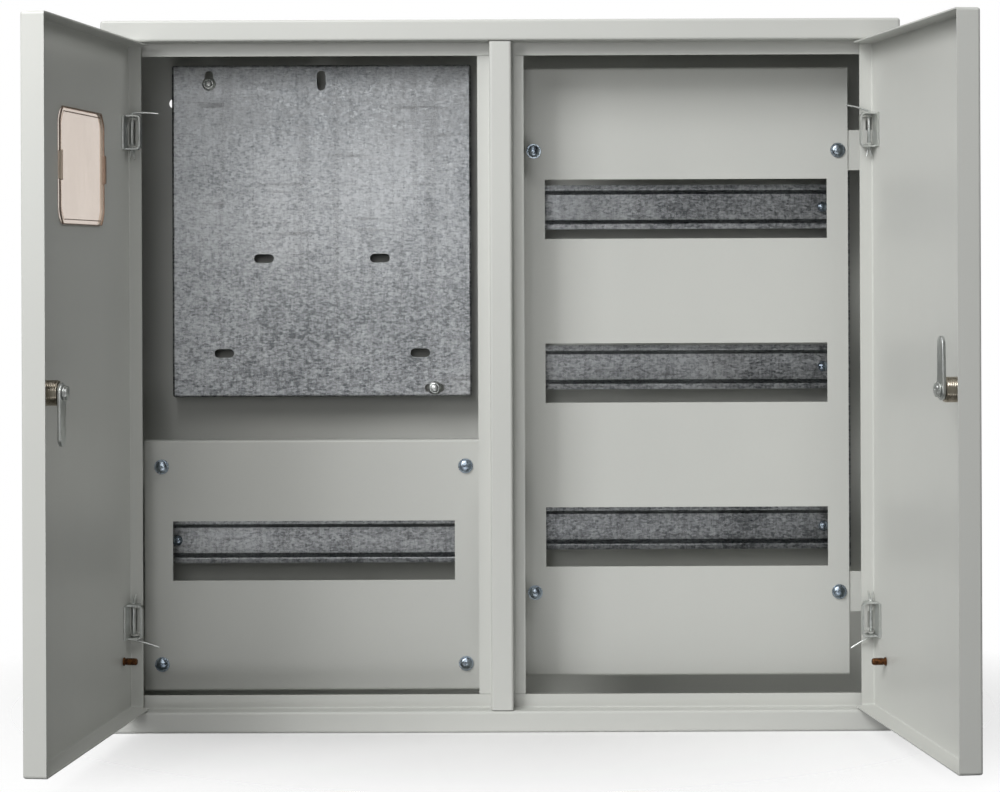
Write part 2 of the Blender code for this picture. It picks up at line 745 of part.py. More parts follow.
def build_frame_bracket(name, side, z):
    root = RECESS - DOOR_SET - PIN_FROM_FACE - FIT
    ear_z = HINGE_TALL / 2 - BRACKET - EAR_GAP - BRACKET / 2
    reach = ear_z + BRACKET / 2 - NOTCH_FOOT
    low = (-EAR_FOOT, root - BRACKET, -reach)
    bracket = box(low, (EAR_SHIFT + EAR_R - NOTCH_FOOT, root - NOTCH_FOOT, reach))
    wide = WINDOW_BEHIND / 2 - WINDOW_BEHIND_LAP
    tall = WINDOW_BEHIND_TALL / 2 - WINDOW_BEHIND_LAP
    low = (-WINDOW_BEHIND_OUT - wide, root - 2 * BRACKET, -tall)
    cut(bracket, box(low, (-WINDOW_BEHIND_OUT + wide, root + BRACKET, tall)))
    weld(bracket, frame_ear(ear_z, root), frame_ear(-ear_z, root))
    if side < 0:
        mirror_x(bracket)
    dress(bracket, name + "_frame_hinge", "paint")
    bracket.location = (-side * AXIS_X, AXIS_Y, z)


def build_door_bracket(name, axis, side, z):
    """A strap bent to a staple round the frame's ears, with a foot on the door's inner face."""
    half = HINGE_TALL / 2 - BRACKET / 2
    root = INSIDE_V + FIT
    path = [(root + FIT, -half), (STRAP_REACH, -half), (STRAP_REACH, half), (root + FIT, half)]
    strap = prism(bent_strip(path, BRACKET, STRAP_BEND, 4), along_x, *STRAP_WIDE)
    ear_space = STRAP_REACH - BRACKET / 2 - STRAP_BEND
    low = (STRAP_WIDE[0] - CUT, ear_space, -HINGE_TALL)
    cut(strap, box(low, (STRAP_WEB, STRAP_REACH + CUT, HINGE_TALL)))
    cut(strap, prism(circle(PIN_HOLE_R, 12), along_z, -HINGE_TALL, HINGE_TALL))
    reach = half + BRACKET / 4
    weld(strap, box((STRAP_FOOT[0], root, -reach), (STRAP_FOOT[1], root + BRACKET, reach)))
    if side < 0:
        mirror_x(strap)
    dress(strap, name + "_door_hinge", "zinc", axis)
    strap.location = (0, 0, z)


def wire(points, radius, sides=8):
    """A round wire through the points, as one closed skin."""
    rings = []
    points = [Vector(p) for p in points]
    for i, point in enumerate(points):
        ahead = points[min(i + 1, len(points) - 1)]
        behind = points[max(i - 1, 0)]
        way = (ahead - behind).normalized()
        across = way.cross(Vector((0, 1, 0))).normalized()
        other = way.cross(across)
        rings.append([point + across * a + other * b for a, b in circle(radius, sides)])
    return ring_body(rings, False, "wire")


def build_pin(name, side, z, end):
    """A split pin: one end bent away as a tail, the other spread in two. end is +1 for a tail on top."""
    tail, rise = TAILS[name]
    reach = HINGE_TALL / 2 + PIN_PAST
    shank = turned([(PIN_R, -reach), (PIN_R, reach)], 12, along_z)
    points = [(0, 0, end * (reach - PIN_LAP)), (0, 0, end * reach)]
    for a, b in circle_arc(PIN_BEND, math.pi, math.pi / 2, 4, (PIN_BEND, 0))[1:]:
        points.append((a, 0, end * (reach + b)))
    points.append((tail, 0, end * (reach + PIN_BEND) + rise))
    prongs = [wire(points, TAIL_R)]
    for lean in (-1, 1):
        root = Vector((lean * PRONG_ROOT, 0, -end * (reach - PIN_LAP)))
        prongs.append(wire([root, root + Vector((lean * PRONG_LEAN, 0, -end * PRONG_LONG))], PRONG_R))
    weld(shank, *prongs)
    if side < 0:
        mirror_x(shank)
    dress(shank, name + "_hinge_pin", "zinc", None, True)
    shank.location = (-side * AXIS_X, AXIS_Y, z)


def build_hinges(doors):
    for door, (axis, side) in doors.items():
        for level, end in (("upper", 1), ("lower", -1)):
            name = level + "_" + door
            z = end * HINGE_Z
            build_frame_bracket(name, side, z)
            build_door_bracket(name, axis, side, z)
            build_pin(name, side, z, end)


# Covers, rails and the meter plate

def build_cover(name, low_x, high_x, low_z, high_z, slots, screws):
    """A cover folded back along its top and bottom, with a cut-out for each row of modules."""
    half = SHEET / 2
    path = [
        (COVER_Y + COVER_FOLD, high_z - half),
        (COVER_Y + half, high_z - half),
        (COVER_Y + half, low_z + half),
        (COVER_Y + COVER_FOLD, low_z + half),
    ]
    cover = prism(bent_strip(path, SHEET), along_x, low_x, high_x)
    near = COVER_Y - CUT
    far = COVER_Y + CUT
    for x, z in slots:
        low = (x - SLOT_WIDE / 2, near, z - SLOT_TALL / 2)
        cut(cover, box(low, (x + SLOT_WIDE / 2, far, z + SLOT_TALL / 2)))
    for i, (x, z) in enumerate(screws):
        cut(cover, prism(circle(SCREW_HOLE_R, 12, (x, z)), along_y, near, far))
        build_screw(name + "_screw_" + str(i + 1), (x, COVER_Y - FIT, z), SCREW_HEAD_R, SCREW_WASHER_R)
    dress(cover, name, "paint")


def build_screw(name, seat, head_r, washer_r):
    """A pan-head screw with a captive washer; seat is where the washer's rear face lies."""
    profile = [
        (head_r * 0.7, -SCREW_HEAD), (head_r, -SCREW_HEAD * 0.6), (head_r, -SCREW_WASHER),
        (washer_r, -SCREW_WASHER), (washer_r, 0), (SCREW_R, 0),
        (SCREW_R, SCREW_LONG - SCREW_POINT), (SCREW_R * 0.4, SCREW_LONG),
    ]
    screw = turned(profile, 12, along_y)
    dress(screw, name, "zinc", None, True)
    screw.location = seat


def build_covers():
    rows = [(RIGHT_X, z) for z in RIGHT_ROW_Z]
    half = BAY_WIDE / 2 - RIGHT_COVER_GAP
    screws = [(RIGHT_X + s * SCREW_X, z) for z in cover_screw_heights("right") for s in (-1, 1)]
    build_cover("right_cover", RIGHT_X - half, RIGHT_X + half, -RIGHT_COVER_Z, RIGHT_COVER_Z, rows, screws)
    half = BAY_WIDE / 2 + LEFT_COVER_LAP
    screws = [(LEFT_X + s * SCREW_X, z) for z in cover_screw_heights("left") for s in (-1, 1)]
    rows = [(LEFT_X, LEFT_ROW_Z)]
    build_cover("left_cover", LEFT_X - half, LEFT_X + half, LEFT_COVER_BOTTOM, LEFT_COVER_TOP, rows, screws)


def build_rail(name, x, z):
    """A top-hat rail: two lips at the front, and a web set back that is screwed to the posts."""
    half = SHEET / 2
    front = RAIL_Y + half
    back = RAIL_Y + RAIL_DEEP - half
    lip = RAIL_TALL / 2 - RAIL_LIP
    path = [
        (front, RAIL_TALL / 2), (front, lip), (back, RAIL_WEB / 2),
        (back, -RAIL_WEB / 2), (front, -lip), (front, -RAIL_TALL / 2),
    ]
    rail = prism(bent_strip(path, SHEET, RAIL_BEND), along_x, -RAIL_LONG / 2, RAIL_LONG / 2)
    for i, side in enumerate((-1, 1)):
        hole = circle(SCREW_HOLE_R, 12, (side * RAIL_SCREW_X, 0))
        cut(rail, prism(hole, along_y, back - CUT, back + CUT))
        seat = (x + side * RAIL_SCREW_X, back - half - FIT, z)
        build_screw(name + "_screw_" + str(i + 1), seat, RAIL_SCREW_HEAD_R, RAIL_SCREW_WASHER_R)
    dress(rail, name, "galvanised")
    rail.location = (x, 0, z)


def build_posts(bay, x, rows):
    """Two posts of Z section, welded to the back panel; the rails are screwed to their front flanges."""
    half = BRACKET / 2
    low = rows[-1] - RAIL_TALL / 2 - POST_PAST
    high = rows[0] + RAIL_TALL / 2 + POST_PAST
    base = -SHEET - FIT - half
    front = POST_Y + half
    for i, side in enumerate((-1, 1)):
        near = side * (RAIL_SCREW_X - POST_WIDE / 2)
        far = side * (RAIL_SCREW_X + POST_WIDE / 2 - half)
        path = [(near, front), (far, front), (far, base), (far + side * POST_FOOT, base)]
        post = prism(bent_strip(path, BRACKET), along_z, low, high)
        for z in rows:
            hole = circle(SCREW_HOLE_R, 12, (side * RAIL_SCREW_X, z))
            cut(post, prism(hole, along_y, front - CUT, front + CUT))
        edges = [low - CUT] + [z + end * POST_TAB_TALL / 2 for z in rows[::-1] for end in (-1, 1)] + [high + CUT]
        for start, stop in zip(edges[::2], edges[1::2]):
            left, right = sorted((near - side * CUT, far + side * BRACKET))
            cut(post, box((left, front - BRACKET, start), (right, front + POST_NOTCH, stop)))
        dress(post, bay + "_post_" + str(i + 1), "galvanised")
        post.location = (x, 0, 0)


def build_rails():
    heights = [z + RAIL_LIFT for z in RIGHT_ROW_Z]
    for row, z in enumerate(heights):
        build_rail("right_rail_" + str(row + 1), RIGHT_X, z)
    build_posts("right", RIGHT_X, heights)
    build_rail("left_rail", LEFT_X, LEFT_ROW_Z + RAIL_LIFT)
    build_posts("left", LEFT_X, [LEFT_ROW_Z + RAIL_LIFT])


def plate_slots():
    """The meter plate's slots: x from its middle, z, and whether the slot is upright."""
    top = PLATE_HIGH_Z - SLOT_FROM_END
    slots = [(-SLOT_SIDE, top, True), (0.0, top, True)]
    for half_gap, height in (UPPER_SLOTS, LOWER_SLOTS):
        slots += [(side * half_gap, PLATE_LOW_Z + height, False) for side in (-1, 1)]
    slots.append((SLOT_SIDE, PLATE_LOW_Z + SLOT_LOW, False))
    return slots


def plate_studs():
    """The two studs that carry the plate: x from its middle, and z."""
    return [(-SLOT_SIDE, PLATE_HIGH_Z - SLOT_FROM_END - STUD_DROP), (SLOT_SIDE, PLATE_LOW_Z + SLOT_LOW)]


def plate_stud(x, z):
    """A shouldered stud that holds the meter plate off the back panel."""
    tip = PLATE_Y - PLATE_STUD_PAST
    shoulder = PLATE_Y + SHEET + FIT
    profile = [
        (PLATE_STUD_R - FIT, tip), (PLATE_STUD_R, tip + FIT), (PLATE_STUD_R, shoulder),
        (PLATE_SHOULDER_R, shoulder), (PLATE_SHOULDER_R, -SHEET / 2),
    ]
    return move(turned(profile, 16, along_y), (x, 0, z))


def plate_nut(name, x, z):
    seat = PLATE_Y - FIT
    corner = NUT_FLATS / 2 / math.cos(math.pi / 6)
    nut = prism(circle(corner, 6), along_y, seat - NUT_TALL, seat - NUT_FLANGE / 2)
    rim = [
        (NUT_FLANGE_R - NUT_FLANGE, seat - 2 * NUT_FLANGE),
        (NUT_FLANGE_R, seat - NUT_FLANGE), (NUT_FLANGE_R, seat),
    ]
    weld(nut, turned(rim, 16, along_y))
    cut(nut, prism(circle(PLATE_STUD_R + FIT, 16), along_y, seat - NUT_TALL - CUT, seat + CUT))
    dress(nut, name, "zinc", None, True)
    nut.location = (x, 0, z)


def build_meter_plate():
    middle = (PLATE_HIGH_Z + PLATE_LOW_Z) / 2
    plate = pan(PLATE_WIDE / 2, (PLATE_HIGH_Z - PLATE_LOW_Z) / 2, PLATE_FOLD, "meter_plate")
    move(plate, (PLATE_X, PLATE_Y, middle))
    for x, z, upright in plate_slots():
        outline = stadium(PLATE_SLOT, PLATE_SLOT_WIDE, upright)
        cut(plate, move(prism(outline, along_y, PLATE_Y - CUT, PLATE_Y + CUT), (PLATE_X + x, 0, z)))
    for i, (x, z) in enumerate(plate_studs()):
        plate_nut("plate_nut_" + str(i + 1), PLATE_X + x, z)
    dress(plate, "meter_plate", "galvanised")


def main():
    clear_scene()
    build_shell()
    build_back()
    build_mullion()
    doors = build_doors()
    build_pane(doors["left"][0])
    for name, inward in (("left", LEFT_STUD_IN), ("right", RIGHT_STUD_IN)):
        axis, side = doors[name]
        build_lock_case(name, axis, side)
        build_lock_core(name, axis, side)
        build_earth_stud(name, axis, side, inward)
    build_hinges(doors)
    build_covers()
    build_rails()
    build_meter_plate()
    bpy.context.view_layer.update()


main()
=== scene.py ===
import json
import math
import bmesh
import bpy
from mathutils import Matrix, Vector

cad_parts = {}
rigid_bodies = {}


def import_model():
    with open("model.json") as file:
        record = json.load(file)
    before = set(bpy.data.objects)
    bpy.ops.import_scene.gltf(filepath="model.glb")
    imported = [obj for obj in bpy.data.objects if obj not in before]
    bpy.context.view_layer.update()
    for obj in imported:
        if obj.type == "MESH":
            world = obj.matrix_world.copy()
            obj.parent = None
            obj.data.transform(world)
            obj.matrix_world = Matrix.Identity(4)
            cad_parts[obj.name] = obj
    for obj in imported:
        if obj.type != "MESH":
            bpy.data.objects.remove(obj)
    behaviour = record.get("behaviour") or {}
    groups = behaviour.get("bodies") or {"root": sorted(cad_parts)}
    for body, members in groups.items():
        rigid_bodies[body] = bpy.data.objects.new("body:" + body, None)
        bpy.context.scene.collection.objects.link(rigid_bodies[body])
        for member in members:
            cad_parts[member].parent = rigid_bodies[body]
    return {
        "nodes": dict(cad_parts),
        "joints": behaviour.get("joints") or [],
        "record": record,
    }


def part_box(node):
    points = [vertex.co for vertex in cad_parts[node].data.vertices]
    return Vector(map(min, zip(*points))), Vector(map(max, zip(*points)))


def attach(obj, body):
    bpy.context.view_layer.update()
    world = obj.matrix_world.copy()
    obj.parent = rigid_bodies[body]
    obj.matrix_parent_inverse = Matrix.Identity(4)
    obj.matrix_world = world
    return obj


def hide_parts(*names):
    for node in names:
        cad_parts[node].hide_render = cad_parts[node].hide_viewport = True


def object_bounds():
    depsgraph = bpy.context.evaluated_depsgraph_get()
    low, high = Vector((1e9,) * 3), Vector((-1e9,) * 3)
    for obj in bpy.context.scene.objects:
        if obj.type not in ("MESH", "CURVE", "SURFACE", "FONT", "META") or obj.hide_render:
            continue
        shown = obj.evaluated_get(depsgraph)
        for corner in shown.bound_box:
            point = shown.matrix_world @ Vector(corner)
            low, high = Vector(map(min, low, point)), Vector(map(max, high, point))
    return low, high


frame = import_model()
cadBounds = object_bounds()
nodes = frame["nodes"]
joints = {joint["name"]: joint for joint in frame["joints"]}
slotOf = {part["node"]: part["material_slot"] for part in frame["record"]["subparts"]}
print("frame loaded:", len(nodes), "nodes")


# shader sockets as numbers

class Signal:  # one output socket; sums and products of signals add Math nodes
    def __init__(self, finish, socket):
        self.finish = finish
        self.socket = socket

    def maths(self, operation, first, second):
        return self.finish.add("ShaderNodeMath", {"operation": operation}, {0: first, 1: second})

    def __add__(self, other):
        return self.maths("ADD", self, other)

    def __radd__(self, other):
        return self.maths("ADD", other, self)

    def __sub__(self, other):
        return self.maths("SUBTRACT", self, other)

    def __rsub__(self, other):
        return self.maths("SUBTRACT", other, self)

    def __mul__(self, other):
        return self.maths("MULTIPLY", self, other)

    def __rmul__(self, other):
        return self.maths("MULTIPLY", other, self)


class Finish:  # a material under construction
    def __init__(self, name):
        self.material = bpy.data.materials.new(name)
        self.material.use_nodes = True
        self.tree = self.material.node_tree
        self.tree.nodes.clear()

    def add(self, kind, settings=None, sockets=None, out=0):
        node = self.tree.nodes.new(kind)
        for key, value in (settings or {}).items():
            setattr(node, key, value)
        for key, value in (sockets or {}).items():
            socket = node.inputs[key]
            if isinstance(value, Signal):
                self.tree.links.new(value.socket, socket)
            else:
                socket.default_value = value
        return Signal(self, node.outputs[out]) if node.outputs else None

    def shader(self, kind, sockets):
        return self.add(kind, {}, sockets)

    def place(self):  # the piece's own coordinates, which turn with it
        return self.add("ShaderNodeTexCoord", out="Object")

    def noise(self, scale, detail=2.0, roughness=0.5, vector=None, distortion=0.0):
        sockets = {"Vector": vector or self.place(), "Scale": scale, "Detail": detail,
                   "Roughness": roughness, "Distortion": distortion}
        return self.add("ShaderNodeTexNoise", {}, sockets)

    def stretched(self, scale):  # coordinates scaled by a vector, for streaks
        return self.add("ShaderNodeVectorMath", {"operation": "MULTIPLY"}, {0: self.place(), 1: scale})

    def blendColour(self, factor, first, second):
        return self.add("ShaderNodeMix", {"data_type": "RGBA"}, {0: factor, 6: first, 7: second}, 2)

    def span(self, value, low, high, toLow=0.0, toHigh=1.0):
        sockets = {"Value": value, 1: low, 2: high, 3: toLow, 4: toHigh}
        return self.add("ShaderNodeMapRange", {"clamp": True}, sockets)

    def bump(self, height, strength, distance):
        sockets = {"Height": height, "Strength": strength, "Distance": distance}
        return self.add("ShaderNodeBump", {}, sockets)

    def surface(self, **sockets):
        renamed = {
            "colour": "Base Color", "roughness": "Roughness", "metallic": "Metallic", "normal": "Normal",
            "alpha": "Alpha", "specular": "Specular IOR Level",
        }
        shader = self.shader("ShaderNodeBsdfPrincipled", {renamed[k]: v for k, v in sockets.items()})
        self.shader("ShaderNodeOutputMaterial", {"Surface": shader})
        return self.material


def grey(value):
    return (value, value, value, 1.0)


# finishes

paintLook = {
    "colour": (0.590, 0.597, 0.566, 1.0),
    "shade": (0.565, 0.573, 0.545, 1.0),
    "roughness": 0.36,
    "peel": 1100.0,      # orange-peel cells to the metre
    "grain": 4200.0,
    "peelHeight": 0.00006,
}


def powderCoat(name, look=paintLook):  # light grey polyester powder, faintly textured
    f = Finish(name)
    cloud = f.noise(5.5, 3.0)
    peel = f.noise(look["peel"], 2.0, 0.55)
    grain = f.noise(look["grain"], 1.0)
    tone = f.span(cloud, 0.35, 0.68)
    colour = f.blendColour(tone, look["shade"], look["colour"])
    speck = f.span(f.noise(2600.0, 0.0), 0.70, 0.78)
    colour = f.blendColour(speck * 0.10, colour, grey(0.30))
    wiped = f.noise(26.0, 4.0, 0.6, f.stretched((1.0, 1.0, 0.35)))
    rough = look["roughness"] + (wiped - 0.5) * 0.10 + (peel - 0.5) * 0.08
    normal = f.bump(peel + grain * 0.35, 0.55, look["peelHeight"])
    return f.surface(colour=colour, roughness=rough, normal=normal, specular=0.5)


zincLook = {"colour": (0.40, 0.47, 0.54, 1.0), "stain": (0.24, 0.29, 0.35, 1.0), "roughness": 0.26}
strapLook = {"colour": (0.66, 0.68, 0.67, 1.0), "stain": (0.56, 0.58, 0.57, 1.0), "roughness": 0.38}


def zincPlate(name, look=zincLook):  # bright passivated plating, slightly uneven
    f = Finish(name)
    cloud = f.noise(160.0, 3.0, 0.6)
    tint = f.span(f.noise(60.0, 2.0), 0.45, 0.70)
    colour = f.blendColour(f.span(cloud, 0.32, 0.70), look["stain"], look["colour"])
    colour = f.blendColour(tint * 0.15, colour, (0.62, 0.60, 0.48, 1.0))
    fine = f.noise(5200.0, 2.0)
    rough = look["roughness"] + (cloud - 0.4) * 0.22
    normal = f.bump(fine + cloud * 0.6, 0.30, 0.00002)
    return f.surface(colour=colour, roughness=rough, metallic=1.0, normal=normal)


spangleLook = {
    "dark": (0.13, 0.138, 0.145, 1.0),
    "light": (0.50, 0.515, 0.53, 1.0),
    "warm": (0.34, 0.31, 0.27, 1.0),
    "grain": 620.0,      # crystals to the metre
    "roughness": 0.37,
}


def galvanised(name, look=spangleLook):  # hot-dip zinc, rolled: fine crystals drawn out along the sheet
    f = Finish(name)
    crystal = f.add("ShaderNodeTexVoronoi", {"feature": "F1"},
                    {"Vector": f.stretched((0.6, 1.0, 1.0)), "Scale": look["grain"]}, "Color")
    cell = f.add("ShaderNodeSeparateColor", {}, {"Color": crystal})
    along = f.noise(760.0, 3.0, 0.65, f.stretched((0.38, 1.0, 1.0)))
    down = f.noise(680.0, 2.0, 0.6, f.stretched((1.0, 1.0, 0.30)))
    wash = f.noise(9.0, 4.0, 0.6)
    mixed = (cell - 0.5) * 0.50 + (along - 0.5) * 1.3 + (down - 0.5) * 0.8 + (wash - 0.5) * 1.4
    colour = f.blendColour(f.span(mixed, -0.45, 0.45), look["dark"], look["light"])
    row = f.noise(170.0, 1.0, 0.5, f.stretched((1.0, 0.0, 0.02)))
    pit = f.noise(1300.0, 1.0, 0.5)
    dots = f.span(row, 0.56, 0.62) * f.span(pit, 0.50, 0.58)
    scratch = f.noise(260.0, 2.0, 0.5, f.stretched((0.06, 1.0, 1.0)))
    marks = f.span(scratch, 0.62, 0.70) * f.span(wash, 0.45, 0.60)
    colour = f.blendColour(dots * 0.45 + marks * 0.40, colour, grey(0.10))
    colour = f.blendColour(f.span(f.noise(4.0, 2.0), 0.55, 0.75) * 0.25, colour, look["warm"])
    rough = look["roughness"] + (cell - 0.5) * 0.12 + (wash - 0.5) * 0.25
    normal = f.bump(along + cell * 0.5, 0.30, 0.00003)
    return f.surface(colour=colour, roughness=rough, metallic=1.0, normal=normal)


lockLook = {"colour": (0.54, 0.49, 0.41, 1.0), "dull": (0.37, 0.32, 0.25, 1.0), "roughness": 0.33}


def lockMetal(name, look=lockLook):  # nickel over brass, dulled in the thread
    f = Finish(name)
    patch = f.noise(220.0, 4.0, 0.6)
    colour = f.blendColour(f.span(patch, 0.34, 0.62), look["dull"], look["colour"])
    turned = f.noise(1500.0, 2.0, 0.5)
    rough = look["roughness"] + (patch - 0.5) * 0.25
    return f.surface(colour=colour, roughness=rough, metallic=1.0, normal=f.bump(turned, 0.25, 0.00002))


copperLook = {"colour": (0.20, 0.085, 0.03, 1.0), "brown": (0.03, 0.014, 0.008, 1.0), "roughness": 0.5}


def copperStud(name, look=copperLook):  # copper-washed weld stud, browned by the oven
    f = Finish(name)
    patch = f.noise(420.0, 4.0, 0.65)
    colour = f.blendColour(f.span(patch, 0.36, 0.62), look["brown"], look["colour"])
    rough = look["roughness"] + (patch - 0.5) * 0.3
    return f.surface(colour=colour, roughness=rough, metallic=0.85, normal=f.bump(patch, 0.35, 0.00004))


filmLook = {
    "body": (0.84, 0.72, 0.62, 1.0),
    "tint": (0.905, 0.855, 0.815, 1.0),
    # painted shade: the dark brown of the refraction lines along the moulding's edges
    "edge": (0.20, 0.135, 0.10, 1.0),
    "cover": 0.16,       # share of the light the film stops
    "roughness": 0.30,
}


def peachFilm(name, look=filmLook):  # clear moulding under its tinted protective film
    f = Finish(name)
    wrinkle = f.noise(42.0, 3.0, 0.55, f.stretched((1.0, 1.0, 0.5)), 0.6)
    dust = f.span(f.noise(900.0, 2.0), 0.62, 0.80)
    colour = f.blendColour(dust * 0.12, look["body"], grey(0.75))
    rough = look["roughness"] + (wrinkle - 0.5) * 0.2
    normal = f.bump(wrinkle, 0.30, 0.0004)
    film = f.shader("ShaderNodeBsdfPrincipled", {"Base Color": colour, "Roughness": rough, "Normal": normal})
    clear = f.shader("ShaderNodeBsdfTransparent", {"Color": look["tint"]})
    share = look["cover"] + (wrinkle - 0.5) * 0.12 + dust * 0.08
    mixed = f.shader("ShaderNodeMixShader", {0: share, 1: clear, 2: film})
    f.shader("ShaderNodeOutputMaterial", {"Surface": mixed})
    return f.material


# painted highlight: a lighter, denser copy of the film for the one clip that stands in light; its twin clip
# stays dark
litClipLook = {
    "body": (0.90, 0.74, 0.60, 1.0), "tint": (0.90, 0.82, 0.74, 1.0), "cover": 0.85, "roughness": 0.35,
}


def paintedEdgeShade(name, look=filmLook):  # painted shade: dark brown bands for the dark refraction lines along the moulding's cut edges, also used for the clip that stands in shade
    f = Finish(name)
    streak = f.noise(300.0, 3.0, 0.6)
    colour = f.blendColour(f.span(streak, 0.3, 0.7), look["edge"], (0.34, 0.25, 0.19, 1.0))
    return f.surface(colour=colour, roughness=0.28 + streak * 0.1, normal=f.bump(streak, 0.2, 0.0001))


makers = {
    "grey_paint": powderCoat, "bright_zinc": zincPlate, "galvanised_steel": galvanised,
    "lock_brass": lockMetal, "stud_copper": copperStud, "pane_plastic": peachFilm,
}
finishes = {slot: maker(slot) for slot, maker in makers.items()}
strapZinc = zincPlate("strap_zinc", strapLook)
for name, node in nodes.items():
    wanted = strapZinc if "door_hinge" in name else finishes[slotOf[name]]
    if not node.material_slots:
        node.data.materials.append(wanted)
    for slot in node.material_slots:
        slot.material = wanted
print("finishes made:", len(finishes))


# shapes

def skin(name, rings, closed=False):  # joins rings of equal counts into one surface
    mesh = bmesh.new()
    loops = [[mesh.verts.new(point) for point in ring] for ring in rings]
    pairs = list(zip(loops, loops[1:]))
    if closed:
        pairs.append((loops[-1], loops[0]))
    else:
        mesh.faces.new(loops[0])
        mesh.faces.new(loops[-1][::-1])
    for near, far in pairs:
        for i in range(len(near)):
            j = (i + 1) % len(near)
            mesh.faces.new((near[i], far[i], far[j], near[j]))
    return fromBmesh(name, mesh)


def fromBmesh(name, mesh):
    bmesh.ops.remove_doubles(mesh, verts=mesh.verts, dist=1e-7)
    bmesh.ops.recalc_face_normals(mesh, faces=mesh.faces)
    data = bpy.data.meshes.new(name)
    mesh.to_mesh(data)
    mesh.free()
    piece = bpy.data.objects.new(name, data)
    bpy.context.scene.collection.objects.link(piece)
    return piece


def arc(radius, start, end, steps, x=0.0, z=0.0):  # angles in degrees
    angles = [math.radians(start + (end - start) * i / steps) for i in range(steps + 1)]
    return [(x + radius * math.cos(a), z + radius * math.sin(a)) for a in angles]


def lathe(name, profile, sides=48):  # profile is (radius, y) along the axis
    rings = [[(x, y, z) for x, z in arc(radius, 0, 360, sides)[:-1]] for radius, y in profile]
    return skin(name, rings)


def slab(name, outline, near, far):  # an outline in X and Z, extruded along Y
    return skin(name, [[(x, y, z) for x, z in outline] for y in (near, far)])


def soften(piece, width, segments=3, angle=30):
    bevel = piece.modifiers.new("soften", "BEVEL")
    bevel.width = width
    bevel.segments = segments
    bevel.limit_method = "ANGLE"
    bevel.angle_limit = math.radians(angle)
    settle(piece)


def settle(piece):  # applies the modifiers
    graph = bpy.context.evaluated_depsgraph_get()
    data = bpy.data.meshes.new_from_object(piece.evaluated_get(graph))
    piece.modifiers.clear()
    piece.data = data


def combine(piece, other, operation="DIFFERENCE"):
    boolean = piece.modifiers.new("combine", "BOOLEAN")
    boolean.operation = operation
    boolean.solver = "EXACT"
    boolean.object = other
    settle(piece)
    bpy.data.objects.remove(other, do_unlink=True)


def smooth(piece, angle=32):
    piece.data.shade_smooth()
    piece.data.set_sharp_from_angle(angle=math.radians(angle))


def threadRings(look, start, length, sides=40):  # a screw thread as heights on a cylinder
    steps = max(2, round(length / look["pitch"] * 8))
    rings = []
    for i in range(steps + 1):
        along = length * i / steps
        fade = min(1.0, along / look["pitch"], (length - along) / look["pitch"])
        ring = []
        for k in range(sides):
            turn = k / sides
            crest = 1 - abs(2 * ((along / look["pitch"] - turn) % 1) - 1)
            radius = look["radius"] - look["depth"] * (1 - min(1.0, crest * 1.35) * fade)
            angle = 2 * math.pi * turn
            if "flats" in look:
                radius = min(radius, look["flats"] / max(abs(math.cos(angle)), 1e-6))
            ring.append((radius * math.cos(angle), start + along, radius * math.sin(angle)))
        rings.append(ring)
    return rings


def ringAt(radius, y, sides=40):
    return [(x, y, z) for x, z in arc(radius, 0, 360, sides)[:-1]]


def hexRing(flats, limit, y, sides=48):  # a hexagon whose corners are turned off at radius limit
    ring = []
    for k in range(sides):
        angle = 2 * math.pi * k / sides
        edge = flats / math.cos((angle + math.pi / 6) % (math.pi / 3) - math.pi / 6)
        radius = min(edge, limit)
        ring.append((radius * math.cos(angle), y, radius * math.sin(angle)))
    return ring


def sweep(name, points, radius, sides=12):  # a round wire with softened ends
    points = [Vector(p) for p in points]
    rings = []
    for i, point in enumerate(points):
        way = (points[min(i + 1, len(points) - 1)] - points[max(i - 1, 0)]).normalized()
        across = way.cross(Vector((0, 1, 0))).normalized()
        other = way.cross(across)
        rings.append([point + across * x + other * z for x, z in arc(radius, 0, 360, sides)[:-1]])
    first, last = rings[0], rings[-1]
    inset = [[centre + (p - centre) * 0.62 for p in ring]
             for ring, centre in ((first, points[0]), (last, points[-1]))]
    startWay = (points[0] - points[1]).normalized() * radius * 0.35
    endWay = (points[-1] - points[-2]).normalized() * radius * 0.35
    rings.insert(0, [p + startWay for p in inset[0]])
    rings.append([p + endWay for p in inset[1]])
    return skin(name, rings)


def localBox(name, matrix):  # a CAD node's corners in a local frame
    inverse = matrix.inverted()
    points = [inverse @ vertex.co for vertex in nodes[name].data.vertices]
    low = Vector([min(p[i] for p in points) for i in range(3)])
    high = Vector([max(p[i] for p in points) for i in range(3)])
    return low, high


def settleIn(piece, matrix, node, body, finish):  # places a detailed piece where its CAD node is
    piece.data.transform(matrix)
    piece.data.materials.clear()
    piece.data.materials.append(finish)
    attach(piece, body)
    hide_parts(node)
    return piece


# screws

screwLook = {
    "pitch": 0.0008, "threadDepth": 0.00035, "shank": 0.0019,
    "recess": 0.0016,    # half the width of the cross
    "recessDepth": 0.0014, "wing": 0.0004, "dome": 0.0015,
}


def crossCutter(look, top):
    cutters = []
    for turn in (0, 90):
        base = [(-look["recess"], -look["wing"]), (look["recess"], -look["wing"]),
                (look["recess"], look["wing"]), (-look["recess"], look["wing"])]
        tip = [(x * 0.45, z * 0.8) for x, z in base]
        rings = [[(x * 1.08, top - 0.001, z) for x, z in base]]
        rings.append([(x, top + look["recessDepth"], z) for x, z in tip])
        cutter = skin("cutter", rings)
        cutter.data.transform(Matrix.Rotation(math.radians(turn), 4, "Y"))
        cutters.append(cutter)
    combine(cutters[0], cutters[1], "UNION")
    return cutters[0]


